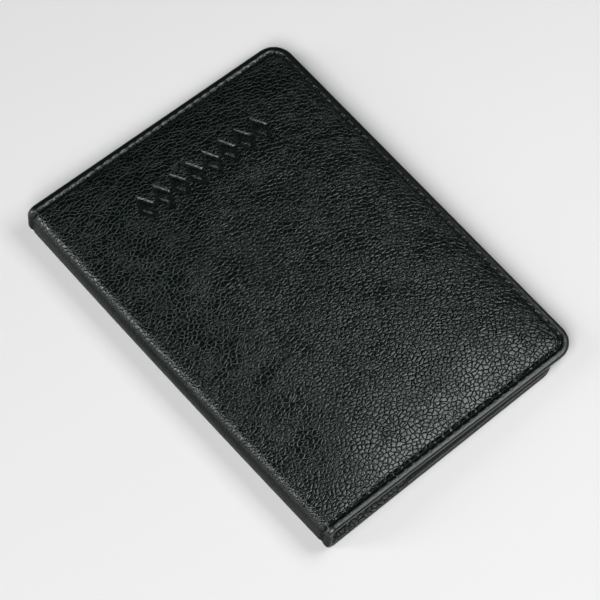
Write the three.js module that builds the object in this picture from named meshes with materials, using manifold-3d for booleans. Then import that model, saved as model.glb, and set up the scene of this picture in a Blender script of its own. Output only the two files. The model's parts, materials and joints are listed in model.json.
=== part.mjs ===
// Leather passport holder, closed, lying on its rear cover.
// Millimetres. +X runs from the spine to the fore edge, +Y along the spine to the head, +Z up.
// The origin is under the middle of the closed holder, on the surface it lies on.

import * as THREE from 'three';
import { mergeVertices } from 'three/addons/utils/BufferGeometryUtils.js';
import Module from 'manifold-3d';

const wasm = await Module();
wasm.setup();

// ---------------------------------------------------------------- driving dimensions

const HEIGHT = 139.7;             // along the spine, head to tail
const WIDTH = 101.6;              // closed, spine to the front cover's fore edge
const REAR_SETBACK = 7;           // the rear cover stops this far short of the front one
const SPINE_HEIGHT = 12.4;        // floor to the front cover's outer face, at the spine
const FORE_HEIGHT = 6.2;          // the same at the fore edge
const CORNER_RADIUS = 7;          // fore corners of both covers
const FOLD_RADIUS = 3;            // outer radius of the leather where it folds into the spine
const FOLD_GAP = 3 * Math.PI / 180;     // half the angle left open between two bodies at a fold

const LEATHER = 1;                // outer leather
const TURN = 0.55;                // skived edge, turned in over the leather
const TURN_WIDTH = 7;
const BOARD = 0.5;                // stiffening board, inside the turned edge
const LINING = 0.25;
const POCKET = 0.5;               // pocket leather
const CARD_LEATHER = 0.45;        // card pocket leather
const SLEEVE_SLIT = 0.6;          // room for a passport's cover
const CARD_SLIT = 0.4;            // room in an empty, relaxed card pocket
const PLY_GAP = 0.05;             // between two plies that lie on each other
const LINING_INSET = 1.5;         // a lining's edge, from the cover's edge
const INSIDE_START = 0.3;         // linings and threads start this far clear of a fold's arc
const BOARD_START = 1;            // and the boards this far
const BOARD_ROOM = 0.3;           // between a board and the turned edge round it

const SEAM_INSET = 2.8;           // edge seam, from the cover's edge
const THREAD_WIDTH = 0.6;
const THREAD_THICKNESS = 0.3;
const GROOVE_WIDTH = 0.9;
const GROOVE_DEPTH = 0.5;
const THREAD_SINK = 0.1;          // the edge thread's top lies this far down in its groove
const HEM_INSET = 2.2;            // hem seam, from a pocket's mouth
const HEM_DEPTH = 0.25;
const HEM_GROOVE_END = 1;         // a hem's groove stops this far clear of the stitched land
const HEM_THREAD_END = 1.5;       // and its thread this far
const CLIMB = { start: 0.8, end: 0.2 }; // where a thread climbs onto a sleeve, before its mouth

const FRONT_MOUTH = 12.8;         // sleeve mouths, from the spine's outer face
const REAR_MOUTH = 33;
const SLEEVE_INSET = 0.6;         // a sleeve's edge, from the cover's edge
const SLEEVE_SEAM = 4.5;          // width of the stitched land round a sleeve
const CARD_NEAR = 14.5;           // card pockets' sides, from the spine's outer face
const CARD_FAR = 72.5;
const CARD_BOTTOM = -48;          // from mid height, + towards the head
const CARD_MOUTHS = { upper: 42, lower: 28 };
const CARD_SEAM = 2.2;            // width of the stitched land round a card pocket
const CARD_HEM_GROOVE_END = 2.6;  // from the pocket's side
const CARD_HEM_THREAD_END = 3;

const ORNAMENT_COUNT = 8;         // lozenges pressed into the front cover, near its head
const ORNAMENT_PITCH = 6.6;
const ORNAMENT_SIZE = { width: 4.4, height: 9 };
const ORNAMENT_CENTRE = { x: 51.5, y: 47 };
const ORNAMENT_DEPTH = 0.3;

const CURVE_STEPS = 5;            // facets in each corner and fold
const MERGE = 1e-4;               // vertices closer than this are one vertex
const CUT_PAST = 1;               // cutters run this far past the face they cut
const OVERLAP = 0.5;              // of two solids that are joined

// ---------------------------------------------------------------- worked out from them

const halfHeight = HEIGHT / 2;
const tilt = Math.atan((SPINE_HEIGHT - FORE_HEIGHT) / WIDTH);
const frontLength = WIDTH / Math.cos(tilt);
const rearLength = WIDTH - REAR_SETBACK;
const frontTurn = Math.PI / 2 + tilt;   // how far the leather turns at the front cover's fold
const rearTurn = Math.PI / 2;

// Heights of the plies inside one cover, from its outer face.
const boardBottom = LEATHER + PLY_GAP;
const turnTop = LEATHER + TURN;
const liningBottom = turnTop + PLY_GAP;
const liningTop = liningBottom + LINING;
const sleeveBottom = liningTop + PLY_GAP;
const sleeveTop = liningTop + SLEEVE_SLIT + POCKET;
const bobbinTop = sleeveTop - THREAD_SINK;
const cardPly = PLY_GAP + CARD_SLIT + CARD_LEATHER;

// Where a fold's arc starts on a cover, from the corner that its two outer faces would meet in.
const tangentLength = (turn) => FOLD_RADIUS * Math.tan(turn / 2);

// ---------------------------------------------------------------- materials

const outerLeather = { color: 0x15191a, roughness: 0.5, metalness: 0 };
const innerLeather = { color: 0x121415, roughness: 0.6, metalness: 0 };
const lining = { color: 0x0d0e10, roughness: 0.9, metalness: 0 };
const board = { color: 0x4a3b2c, roughness: 0.9, metalness: 0 };
const thread = { color: 0x08090a, roughness: 0.7, metalness: 0 };

// ---------------------------------------------------------------- shape helpers

function toSolid(geometry) {
  const bare = geometry.clone();
  bare.deleteAttribute('normal');
  bare.deleteAttribute('uv');
  const merged = mergeVertices(bare, MERGE);
  return new wasm.Manifold(new wasm.Mesh({
    numProp: 3,
    vertProperties: Float32Array.from(merged.attributes.position.array),
    triVerts: Uint32Array.from(merged.index.array),
  }));
}

function toGeometry(solid) {
  const mesh = solid.getMesh();
  const geometry = new THREE.BufferGeometry();
  geometry.setAttribute('position', new THREE.BufferAttribute(mesh.vertProperties, 3));
  geometry.setIndex(new THREE.BufferAttribute(mesh.triVerts, 1));
  geometry.computeVertexNormals();
  return geometry;
}

// A plate: a shape drawn in plan, from height low to height high.
function plate(shape, low, high) {
  const options = { depth: high - low, bevelEnabled: false, curveSegments: CURVE_STEPS };
  return toSolid(new THREE.ExtrudeGeometry(shape, options).translate(0, 0, low));
}

// A bar: a shape drawn in the XZ plane, from y = tail to y = head.
function bar(shape, tail, head) {
  const options = { depth: head - tail, bevelEnabled: false, curveSegments: CURVE_STEPS };
  return toSolid(new THREE.ExtrudeGeometry(shape, options).rotateX(Math.PI / 2).translate(0, head, 0));
}

function polygon(...corners) {
  return new THREE.Shape(corners.map(([x, y]) => new THREE.Vector2(x, y)));
}

function rectangle(left, bottom, right, top) {
  return polygon([left, bottom], [right, bottom], [right, top], [left, top]);
}

// The line round a cover's tail, fore and head edges, at an inset from them.
function edgeLine(start, length, inset) {
  const radius = Math.max(CORNER_RADIUS - inset, 0.5);
  const fore = length - inset;
  const half = halfHeight - inset;
  const line = new THREE.Path();
  line.moveTo(start, -half);
  line.lineTo(fore - radius, -half);
  line.absarc(fore - radius, radius - half, radius, -Math.PI / 2, 0, false);
  line.lineTo(fore, half - radius);
  line.absarc(fore - radius, half - radius, radius, 0, Math.PI / 2, false);
  line.lineTo(start, half);
  return line.getPoints(CURVE_STEPS);
}

function coverShape(start, length, inset) {
  return new THREE.Shape(edgeLine(start, length, inset));
}

// A strip that follows those three edges, between two insets.
function edgeStrip(start, length, outerInset, innerInset) {
  const inner = edgeLine(start, length, innerInset).reverse();
  return new THREE.Shape([...edgeLine(start, length, outerInset), ...inner]);
}

// ---------------------------------------------------------------- folds

// A cover's own half of its fold, in the XZ plane: the leather from depth near to depth far
// below the outer face. The cover's outer face is z = 0 and its inside is up. Its arc stops
// short of the middle of the fold, or runs past it where past is positive.
function coverFoldShape(turn, near, far, past = -FOLD_GAP) {
  const centreX = tangentLength(turn);
  const flat = -Math.PI / 2;
  const end = flat - turn / 2 - past;
  const shape = new THREE.Shape();
  shape.moveTo(centreX + OVERLAP, near);
  shape.lineTo(centreX, near);
  shape.absarc(centreX, FOLD_RADIUS, FOLD_RADIUS - near, flat, end, true);
  shape.absarc(centreX, FOLD_RADIUS, FOLD_RADIUS - far, end, flat, false);
  shape.lineTo(centreX + OVERLAP, far);
  return shape;
}

// Height of the centre of the front fold's arc, in the closed holder.
const frontFoldCentre = SPINE_HEIGHT - FOLD_RADIUS * Math.tan(tilt) - FOLD_RADIUS / Math.cos(tilt);

// The spine's section in the XZ plane, from depth near to depth far below its outer face. Its
// arcs stop short of the middle of each fold, or run past it where past is positive.
function spineShape(near, far, past = -FOLD_GAP) {
  const low = new THREE.Vector2(FOLD_RADIUS, FOLD_RADIUS);
  const high = new THREE.Vector2(FOLD_RADIUS, frontFoldCentre);
  const lowEnd = Math.PI + rearTurn / 2 + past;
  const highEnd = Math.PI - frontTurn / 2 - past;
  const shape = new THREE.Shape();
  shape.absarc(low.x, low.y, FOLD_RADIUS - near, lowEnd, Math.PI, true);
  shape.absarc(high.x, high.y, FOLD_RADIUS - near, Math.PI, highEnd, true);
  shape.absarc(high.x, high.y, FOLD_RADIUS - far, highEnd, Math.PI, false);
  shape.absarc(low.x, low.y, FOLD_RADIUS - far, Math.PI, lowEnd, false);
  return shape;
}

// ---------------------------------------------------------------- the pieces of one cover
// Every cover is built lying on its outer face, with its inside up and its fold at low X. The
// front cover is then turned over, so its head is at low Y here.

function seamHalves(width) {
  return [SEAM_INSET - width / 2, SEAM_INSET + width / 2];
}

// The stretch of Y that a seam of this width takes up, near the head (side 1) or tail (-1).
function seamSpan(side, width) {
  const centre = side * (halfHeight - SEAM_INSET);
  return [centre - width / 2, centre + width / 2];
}

function coverLeather(length, turn) {
  const start = tangentLength(turn);
  const [grooveOuter, grooveInner] = seamHalves(GROOVE_WIDTH);
  let leather = plate(coverShape(start, length, 0), 0, LEATHER)
    .add(plate(edgeStrip(start, length, 0, TURN_WIDTH), LEATHER / 2, turnTop))
    .add(bar(coverFoldShape(turn, 0, LEATHER), -halfHeight, halfHeight))
    .subtract(plate(edgeStrip(start, length, grooveOuter, grooveInner), -CUT_PAST, GROOVE_DEPTH));
  for (const side of [-1, 1]) {
    const fold = coverFoldShape(turn, -CUT_PAST, GROOVE_DEPTH, FOLD_GAP);
    leather = leather.subtract(bar(fold, ...seamSpan(side, GROOVE_WIDTH)));
  }
  return leather;
}

function pressOrnament(leather) {
  const { width, height } = ORNAMENT_SIZE;
  const first = ORNAMENT_CENTRE.x - ORNAMENT_PITCH * (ORNAMENT_COUNT - 1) / 2;
  let pressed = leather;
  for (let i = 0; i < ORNAMENT_COUNT; i += 1) {
    const x = first + i * ORNAMENT_PITCH;
    const y = -ORNAMENT_CENTRE.y;
    const lozenge = polygon(
      [x - width / 2, y], [x, y - height / 2], [x + width / 2, y], [x, y + height / 2]);
    pressed = pressed.subtract(plate(lozenge, -CUT_PAST, ORNAMENT_DEPTH));
  }
  return pressed;
}

function coverBoard(length, turn) {
  const inset = TURN_WIDTH + BOARD_ROOM;
  const shape = coverShape(tangentLength(turn) + BOARD_START, length, inset);
  return plate(shape, boardBottom, boardBottom + BOARD - PLY_GAP);
}

function coverLining(length, turn) {
  const shape = coverShape(tangentLength(turn) + INSIDE_START, length, LINING_INSET);
  return plate(shape, liningBottom, liningTop);
}

// A pocket panel that stands clear of the cover inside its stitched land.
function passportSleeve(length, mouth) {
  const [grooveOuter, grooveInner] = seamHalves(GROOVE_WIDTH);
  const hem = mouth + HEM_INSET;
  const land = edgeStrip(mouth, length, SLEEVE_INSET, SLEEVE_INSET + SLEEVE_SEAM);
  const seamGroove = edgeStrip(mouth - CUT_PAST, length, grooveOuter, grooveInner);
  const hemEnd = halfHeight - SLEEVE_SEAM - HEM_GROOVE_END;
  const hemGroove = rectangle(hem - GROOVE_WIDTH / 2, -hemEnd, hem + GROOVE_WIDTH / 2, hemEnd);
  return plate(coverShape(mouth, length, SLEEVE_INSET), sleeveTop - POCKET, sleeveTop)
    .add(plate(land, sleeveBottom, sleeveTop - POCKET / 2))
    .subtract(plate(seamGroove, bobbinTop - THREAD_THICKNESS - PLY_GAP, sleeveTop + CUT_PAST))
    .subtract(plate(hemGroove, sleeveTop - HEM_DEPTH, sleeveTop + CUT_PAST));
}

function sleeveHemThread(mouth) {
  const hem = mouth + HEM_INSET;
  const end = halfHeight - SLEEVE_SEAM - HEM_THREAD_END;
  const strip = rectangle(hem - THREAD_WIDTH / 2, -end, hem + THREAD_WIDTH / 2, end);
  const low = sleeveTop - HEM_DEPTH + PLY_GAP;
  return plate(strip, low, low + HEM_DEPTH);
}

// The edge seam's thread on the cover's outer face, sunk in its groove.
function needleThread(length, turn) {
  const strip = edgeStrip(tangentLength(turn), length, ...seamHalves(THREAD_WIDTH));
  return plate(strip, THREAD_SINK, THREAD_SINK + THREAD_THICKNESS);
}

// Its thread on the inside, which climbs from the lining onto the sleeve at the sleeve's mouth.
function bobbinThread(length, turn, mouth) {
  const start = tangentLength(turn) + INSIDE_START;
  const strip = edgeStrip(start, length, ...seamHalves(THREAD_WIDTH));
  const onLining = sleeveBottom;
  const onSleeve = bobbinTop - THREAD_THICKNESS;
  const [climbStart, climbEnd] = [mouth - CLIMB.start, mouth - CLIMB.end];
  const [left, right] = [start - CUT_PAST, length + CUT_PAST];
  const steps = polygon(
    [left, onLining], [climbEnd, onLining], [climbEnd, onSleeve], [right, onSleeve],
    [right, bobbinTop], [climbStart, bobbinTop], [climbStart, onLining + THREAD_THICKNESS],
    [left, onLining + THREAD_THICKNESS]);
  return plate(strip, 0, bobbinTop + CUT_PAST).intersect(bar(steps, -halfHeight, halfHeight));
}

// ---------------------------------------------------------------- card pockets
// They are stitched onto the front sleeve, one on the other, and open towards the head.

function cardPocketTop(layer) {
  return sleeveTop + (layer + 1) * cardPly;
}

function cardPocket(layer, mouth, seamed) {
  const top = cardPocketTop(layer);
  const low = -mouth;
  const high = -CARD_BOTTOM;
  const hem = low + HEM_INSET;
  const panel = rectangle(CARD_NEAR, low, CARD_FAR, high);
  const land = cardCup(low, 0, CARD_SEAM);
  const hemGroove = rectangle(
    CARD_NEAR + CARD_HEM_GROOVE_END, hem - GROOVE_WIDTH / 2,
    CARD_FAR - CARD_HEM_GROOVE_END, hem + GROOVE_WIDTH / 2);
  let pocket = plate(panel, top - CARD_LEATHER, top)
    .add(plate(land, top - CARD_LEATHER - CARD_SLIT, top - CARD_LEATHER / 2))
    .subtract(plate(hemGroove, top - HEM_DEPTH, top + CUT_PAST));
  if (seamed) {
    const centre = CARD_SEAM / 2;
    const groove = cardCup(low - CUT_PAST, centre - GROOVE_WIDTH / 2, centre + GROOVE_WIDTH / 2);
    pocket = pocket.subtract(plate(groove, top - HEM_DEPTH, top + CUT_PAST));
  }
  return pocket;
}

// A strip along the card pockets' sides and bottom, open at their mouth.
function cardCup(mouthY, outer, inner) {
  const bottomY = -CARD_BOTTOM;
  return polygon(
    [CARD_NEAR + outer, mouthY], [CARD_NEAR + inner, mouthY], [CARD_NEAR + inner, bottomY - inner],
    [CARD_FAR - inner, bottomY - inner], [CARD_FAR - inner, mouthY], [CARD_FAR - outer, mouthY],
    [CARD_FAR - outer, bottomY - outer], [CARD_NEAR + outer, bottomY - outer]);
}

function cardHemThread(layer, mouth) {
  const low = cardPocketTop(layer) - HEM_DEPTH + PLY_GAP;
  const hem = -mouth + HEM_INSET;
  const strip = rectangle(
    CARD_NEAR + CARD_HEM_THREAD_END, hem - THREAD_WIDTH / 2,
    CARD_FAR - CARD_HEM_THREAD_END, hem + THREAD_WIDTH / 2);
  return plate(strip, low, low + HEM_DEPTH - PLY_GAP);
}

function cardSeamThread(layer, mouth) {
  const low = cardPocketTop(layer) - HEM_DEPTH + PLY_GAP;
  const centre = CARD_SEAM / 2;
  const strip = cardCup(-mouth, centre - THREAD_WIDTH / 2, centre + THREAD_WIDTH / 2);
  return plate(strip, low, low + HEM_DEPTH - PLY_GAP);
}

// ---------------------------------------------------------------- the spine

// One section for the whole length, thinned between the turned ends.
function spineLeather() {
  const turnEnd = halfHeight - TURN_WIDTH;
  let leather = bar(spineShape(0, turnTop), -halfHeight, halfHeight)
    .subtract(bar(spineShape(LEATHER, turnTop + CUT_PAST, FOLD_GAP), -turnEnd, turnEnd));
  for (const side of [-1, 1]) {
    const groove = spineShape(-CUT_PAST, GROOVE_DEPTH, FOLD_GAP);
    leather = leather.subtract(bar(groove, ...seamSpan(side, GROOVE_WIDTH)));
  }
  return leather;
}

function spineStrip(near, far) {
  const end = halfHeight - TURN_WIDTH - BOARD_ROOM;
  return bar(rectangle(near, FOLD_RADIUS, far, frontFoldCentre), -end, end);
}

function spineThread(side, near) {
  return bar(spineShape(near, near + THREAD_THICKNESS), ...seamSpan(side, THREAD_WIDTH));
}

// ---------------------------------------------------------------- assembly

function addPiece(group, name, solid, material) {
  const mesh = new THREE.Mesh(toGeometry(solid), new THREE.MeshStandardMaterial(material));
  mesh.name = name;
  group.add(mesh);
}

function addCover(group, side, length, turn, mouth) {
  const leather = coverLeather(length, turn);
  const finished = side === 'front' ? pressOrnament(leather) : leather;
  addPiece(group, `${side}_cover_leather`, finished, outerLeather);
  addPiece(group, `${side}_cover_board`, coverBoard(length, turn), board);
  addPiece(group, `${side}_cover_lining`, coverLining(length, turn), lining);
  addPiece(group, `${side}_passport_sleeve`, passportSleeve(length, mouth), innerLeather);
  addPiece(group, `${side}_edge_thread`, needleThread(length, turn), thread);
  addPiece(group, `${side}_bobbin_thread`, bobbinThread(length, turn, mouth), thread);
  addPiece(group, `${side}_sleeve_hem_thread`, sleeveHemThread(mouth), thread);
}

function addCardPockets(group) {
  Object.entries(CARD_MOUTHS).forEach(([name, mouth], layer) => {
    const outermost = name === 'lower';
    addPiece(group, `${name}_card_pocket`, cardPocket(layer, mouth, outermost), innerLeather);
    addPiece(group, `${name}_card_hem_thread`, cardHemThread(layer, mouth), thread);
    if (outermost) addPiece(group, 'card_seam_thread', cardSeamThread(layer, mouth), thread);
  });
}

function addSpine(group) {
  const liningDepth = boardBottom + BOARD + PLY_GAP;
  addPiece(group, 'spine_leather', spineLeather(), outerLeather);
  addPiece(group, 'spine_board', spineStrip(boardBottom, boardBottom + BOARD), board);
  addPiece(group, 'spine_lining', spineStrip(liningDepth, liningDepth + LINING), lining);
  for (const [end, side] of [['head', 1], ['tail', -1]]) {
    addPiece(group, `spine_${end}_thread`, spineThread(side, THREAD_SINK), thread);
    addPiece(group, `spine_${end}_bobbin_thread`, spineThread(side, turnTop + PLY_GAP), thread);
  }
}

const holder = new THREE.Group();
holder.position.x = -WIDTH / 2;

const rearCover = new THREE.Group();
addCover(rearCover, 'rear', rearLength, rearTurn, REAR_MOUTH);
holder.add(rearCover);

const spine = new THREE.Group();
addSpine(spine);
holder.add(spine);

const frontCover = new THREE.Group();
frontCover.rotation.x = Math.PI;
addCover(frontCover, 'front', frontLength, frontTurn, FRONT_MOUTH);
addCardPockets(frontCover);

const frontTilt = new THREE.Group();
frontTilt.position.z = SPINE_HEIGHT;
frontTilt.rotation.y = tilt;
frontTilt.add(frontCover);
holder.add(frontTilt);

export default holder;
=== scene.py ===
import json
import math

import bpy
import numpy as np
from mathutils import Matrix, Vector


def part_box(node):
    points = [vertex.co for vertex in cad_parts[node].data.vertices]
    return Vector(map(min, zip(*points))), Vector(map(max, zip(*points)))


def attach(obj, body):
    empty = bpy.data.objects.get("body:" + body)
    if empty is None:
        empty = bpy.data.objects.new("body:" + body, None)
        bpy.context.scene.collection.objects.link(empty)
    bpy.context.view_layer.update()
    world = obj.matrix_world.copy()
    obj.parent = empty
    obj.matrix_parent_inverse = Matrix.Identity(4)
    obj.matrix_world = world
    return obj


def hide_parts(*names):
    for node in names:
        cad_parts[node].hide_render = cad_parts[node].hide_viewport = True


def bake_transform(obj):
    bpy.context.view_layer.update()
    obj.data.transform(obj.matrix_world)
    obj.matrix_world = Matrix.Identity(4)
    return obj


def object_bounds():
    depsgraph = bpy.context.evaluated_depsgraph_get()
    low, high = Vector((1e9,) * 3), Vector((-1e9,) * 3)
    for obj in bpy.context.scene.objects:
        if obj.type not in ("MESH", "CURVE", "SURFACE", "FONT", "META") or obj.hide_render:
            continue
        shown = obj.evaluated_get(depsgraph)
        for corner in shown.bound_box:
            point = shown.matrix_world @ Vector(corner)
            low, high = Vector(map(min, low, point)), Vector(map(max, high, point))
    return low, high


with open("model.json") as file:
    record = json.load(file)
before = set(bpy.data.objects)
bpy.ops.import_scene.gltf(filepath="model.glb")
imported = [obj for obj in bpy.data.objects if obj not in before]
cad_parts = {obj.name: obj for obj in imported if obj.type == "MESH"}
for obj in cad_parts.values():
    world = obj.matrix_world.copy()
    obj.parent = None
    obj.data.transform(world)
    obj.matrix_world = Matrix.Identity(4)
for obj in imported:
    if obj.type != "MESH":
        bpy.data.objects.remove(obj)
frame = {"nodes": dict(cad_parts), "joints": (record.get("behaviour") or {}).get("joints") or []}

cad_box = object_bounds()

# ---------------- sizes, in millimetres
# Shapes are worked out in millimetres, and turned into metres when a mesh is made. The floor,
# lights and camera are in metres. A depth is measured inwards from the holder's outer face.

MM = 0.001
FRONT, REAR = 1, -1             # the two covers, by the side of the spine that they lie on

FOLD_RADIUS = 3.0               # outer radius of the leather where it folds into the spine
CORNER_RADIUS = 7.0             # fore corners of both covers
LINING_DEPTH = (1.6, 1.85)      # where the lining starts and ends
LINING_INSET = 0.25
TURN_WIDTH = 7.0                # how far the leather's edge is turned in
TURN_DEPTH = 1.56
BOARD_ROOM_DEPTH = 1.02         # the leather's inner face where the board lies

SLEEVE_DEPTH = (2.45, 2.95)
SLEEVE_LAND_DEPTH = 1.9
SLEEVE_INSET = 0.4
SLEEVE_LAND = 4.7               # width of the stitched land round a sleeve
SLEEVE_MOUTH = {FRONT: 12.8, REAR: 33.0}    # from the spine's outer face

CARD_DEPTHS = {"upper": (3.4, 3.85), "lower": (4.3, 4.75)}
CARD_SIDES = (14.5, 72.5)       # from the spine's outer face
CARD_BOTTOM = -48.0             # from mid height, as the mouths are
CARD_MOUTH = {"upper": 42.0, "lower": 28.0}
CARD_LAND = 2.2                 # width of the stitched land round a card pocket
CARD_LAND_RISE = 0.38           # how much nearer to the sleeve its back is there

SEAM_INSET = 2.8
HEM_INSET = 2.2
CARD_SEAM_INSET = 1.1
STITCH_PITCH = 3.3
THREAD_RADIUS = 0.31

ORNAMENT_COUNT = 8
ORNAMENT_PITCH = 6.6
ORNAMENT_HALF = (2.7, 4.8)      # a lozenge's half width and half height
ORNAMENT_CENTRE = (51.5, 47.0)  # from the spine's outer face, and from mid height
ORNAMENT_DEPTH = 0.42
ORNAMENT_WALL = (-0.45, 0.35)   # its outer wall starts and ends this far inside its outline
ORNAMENT_STROKE = (0.8, 1.5)    # and its inner wall this far
ORNAMENT_MIDDLE = 0.75          # share of the depth that a lozenge's middle rises again
ORNAMENT_MARGIN = 2.0           # it has no effect further away than this
GRAIN_PRESSED = 0.75            # how much of the grain its tool has pressed out
GRAIN_MARGIN = 1.2              # and how far outside a lozenge that starts

joints = {joint["name"]: joint for joint in frame["joints"]}
box_top = cad_box[1] / MM
HALF_WIDTH = box_top.x
HALF_HEIGHT = box_top.y
REAR_TURN = math.radians(joints["rear_fold"]["range_deg"][1])
FRONT_TURN = math.radians(joints["front_fold"]["range_deg"][1])
TILT = FRONT_TURN - REAR_TURN


def tangent_length(turn):
    """From the corner where a fold's two outer faces would meet to where its arc starts."""
    return FOLD_RADIUS * math.tan(turn / 2)


front_pivot = Vector(joints["front_fold"]["pos_m"]) / MM
foot_along = tangent_length(FRONT_TURN) - FOLD_RADIUS * FRONT_TURN / 2
foot_in = foot_along / math.tan(FRONT_TURN / 2)
SPINE_HEIGHT = front_pivot.z + foot_along * math.sin(TILT) + foot_in * math.cos(TILT)
FOLD_CENTRE_Z = SPINE_HEIGHT - FOLD_RADIUS * math.tan(TILT) - FOLD_RADIUS / math.cos(TILT)
REAR_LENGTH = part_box("rear_cover_leather")[1].x / MM + HALF_WIDTH
FRONT_LENGTH = 2 * HALF_WIDTH / math.cos(TILT)

# The leather laid out flat: reach is measured along its outer face from the middle of the
# spine, towards either cover. In the functions below, u is a reach and v is the distance from
# mid height, towards the head.
WALL_HALF = (FOLD_CENTRE_Z - FOLD_RADIUS) / 2
TURN = {FRONT: FRONT_TURN, REAR: REAR_TURN}
COVER_START = {side: WALL_HALF + FOLD_RADIUS * TURN[side] for side in TURN}
COVER_LENGTH = {FRONT: FRONT_LENGTH, REAR: REAR_LENGTH}
REACH = {
    side: COVER_START[side] + COVER_LENGTH[side] - tangent_length(TURN[side]) for side in TURN
}
BODY = {FRONT: "front_cover", REAR: "rear_cover"}


def reach_of(side, distance):
    """Reach of a point on a cover, from its distance to the spine's outer face."""
    return COVER_START[side] + distance - tangent_length(TURN[side])


CARD_NEAR, CARD_FAR = (reach_of(FRONT, distance) for distance in CARD_SIDES)


# ---------------- the folded shape


def section(side, reach):
    """The outer face's (x, z), and its inward normal, at each reach."""
    reach = np.asarray(reach, float)
    x, z = np.zeros_like(reach), np.zeros_like(reach)
    nx, nz = np.ones_like(reach), np.zeros_like(reach)
    middle = FOLD_RADIUS + WALL_HALF
    wall = reach <= WALL_HALF
    z[wall] = middle + side * reach[wall]
    fold = ~wall & (reach < COVER_START[side])
    centre_z = FOLD_CENTRE_Z if side == FRONT else FOLD_RADIUS
    angle = math.pi - side * (reach[fold] - WALL_HALF) / FOLD_RADIUS
    x[fold] = FOLD_RADIUS * (1 + np.cos(angle))
    z[fold] = centre_z + FOLD_RADIUS * np.sin(angle)
    nx[fold], nz[fold] = -np.cos(angle), -np.sin(angle)
    cover = reach >= COVER_START[side]
    along = reach[cover] - COVER_START[side]
    slope = TILT if side == FRONT else 0.0
    x[cover] = FOLD_RADIUS * (1 + math.sin(slope)) + along * math.cos(slope)
    z[cover] = centre_z + side * FOLD_RADIUS * math.cos(slope) - along * math.sin(slope)
    nx[cover], nz[cover] = -math.sin(slope), -side * math.cos(slope)
    return x, z, nx, nz


SPINE_BOW = 0.9                 # how far the spine bows out, half way along it
SPINE_BOW_REACH = 7.0           # the bow ends this far from the middle of the spine
SPINE_BOW_FADE = 0.5            # it fades out over this much of the leather's depth


def spine_bow(reach, v, depth):
    """How far the leather stands out from its flat section, near the spine."""
    across = np.clip(1 - (reach / SPINE_BOW_REACH) ** 2, 0, 1) ** 2
    leather = np.clip((LINING_DEPTH[0] - depth) / SPINE_BOW_FADE, 0, 1)
    return SPINE_BOW * across * (1 - (v / HALF_HEIGHT) ** 2) * leather


def place(side, reach, v, depth):
    """Row-frame points, in metres, of flat points at a depth below the outer face."""
    reach, v, depth = np.broadcast_arrays(*(np.asarray(a, float) for a in (reach, v, depth)))
    x, z, nx, nz = section(side, reach)
    depth = depth - spine_bow(reach, v, depth)
    points = np.stack([x + nx * depth - HALF_WIDTH, v, z + nz * depth], axis=-1)
    return points * MM


def smooth(low_edge, high_edge, value):
    """0 below the low edge and 1 above the high edge, with an even curve between them."""
    t = np.clip((value - low_edge) / (high_edge - low_edge), 0, 1)
    return t * t * (3 - 2 * t)


# ---------------- mesh helpers

SHARP_ANGLE = math.radians(50)  # faces that meet at more than this are shaded apart
EDGE_BAND = (1.6, 3.4)          # the grain fades out between these distances from the edge
CORNER_STEPS = 10


def make_mesh(name, points, faces, flat, edge=None, edge_faces=None):
    """A mesh object, smooth shaded, that keeps its flat coordinates for its material.

    edge says how much of the grain is pressed out at each point, from 0 to 1. edge_faces are
    the faces that take the piece's second material.
    """
    mesh = bpy.data.meshes.new(name)
    mesh.from_pydata([tuple(p) for p in points], [], faces)
    attribute = mesh.attributes.new("flat", "FLOAT_VECTOR", "POINT")
    attribute.data.foreach_set("vector", np.asarray(flat, np.float32).ravel())
    edge = np.zeros(len(points)) if edge is None else edge
    attribute = mesh.attributes.new("edge", "FLOAT", "POINT")
    attribute.data.foreach_set("value", np.asarray(edge, np.float32))
    mesh.polygons.foreach_set("use_smooth", [True] * len(faces))
    if edge_faces is not None:
        index = np.zeros(len(faces), np.int32)
        index[edge_faces] = 1
        mesh.polygons.foreach_set("material_index", index)
    mesh.update()
    mesh.set_sharp_from_angle(angle=SHARP_ANGLE)
    piece = bpy.data.objects.new(name, mesh)
    bpy.context.scene.collection.objects.link(piece)
    return piece


def spaced(start, end, step):
    """Even samples from start to end, about a step apart."""
    return np.linspace(start, end, max(2, int(round((end - start) / step)) + 1))


def joined(*runs):
    """Runs of samples that follow on from each other, without the points they share."""
    return np.concatenate([runs[0]] + [run[1:] for run in runs[1:]])


def laid_flat(profile):
    """Where each point of an edge profile lies when the sheet's edge is unrolled."""
    laid = [profile[0][0]]
    for (s0, d0), (s1, d1) in zip(profile, profile[1:]):
        laid.append(laid[-1] - math.hypot(s1 - s0, d1 - d0))
    return laid


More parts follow.
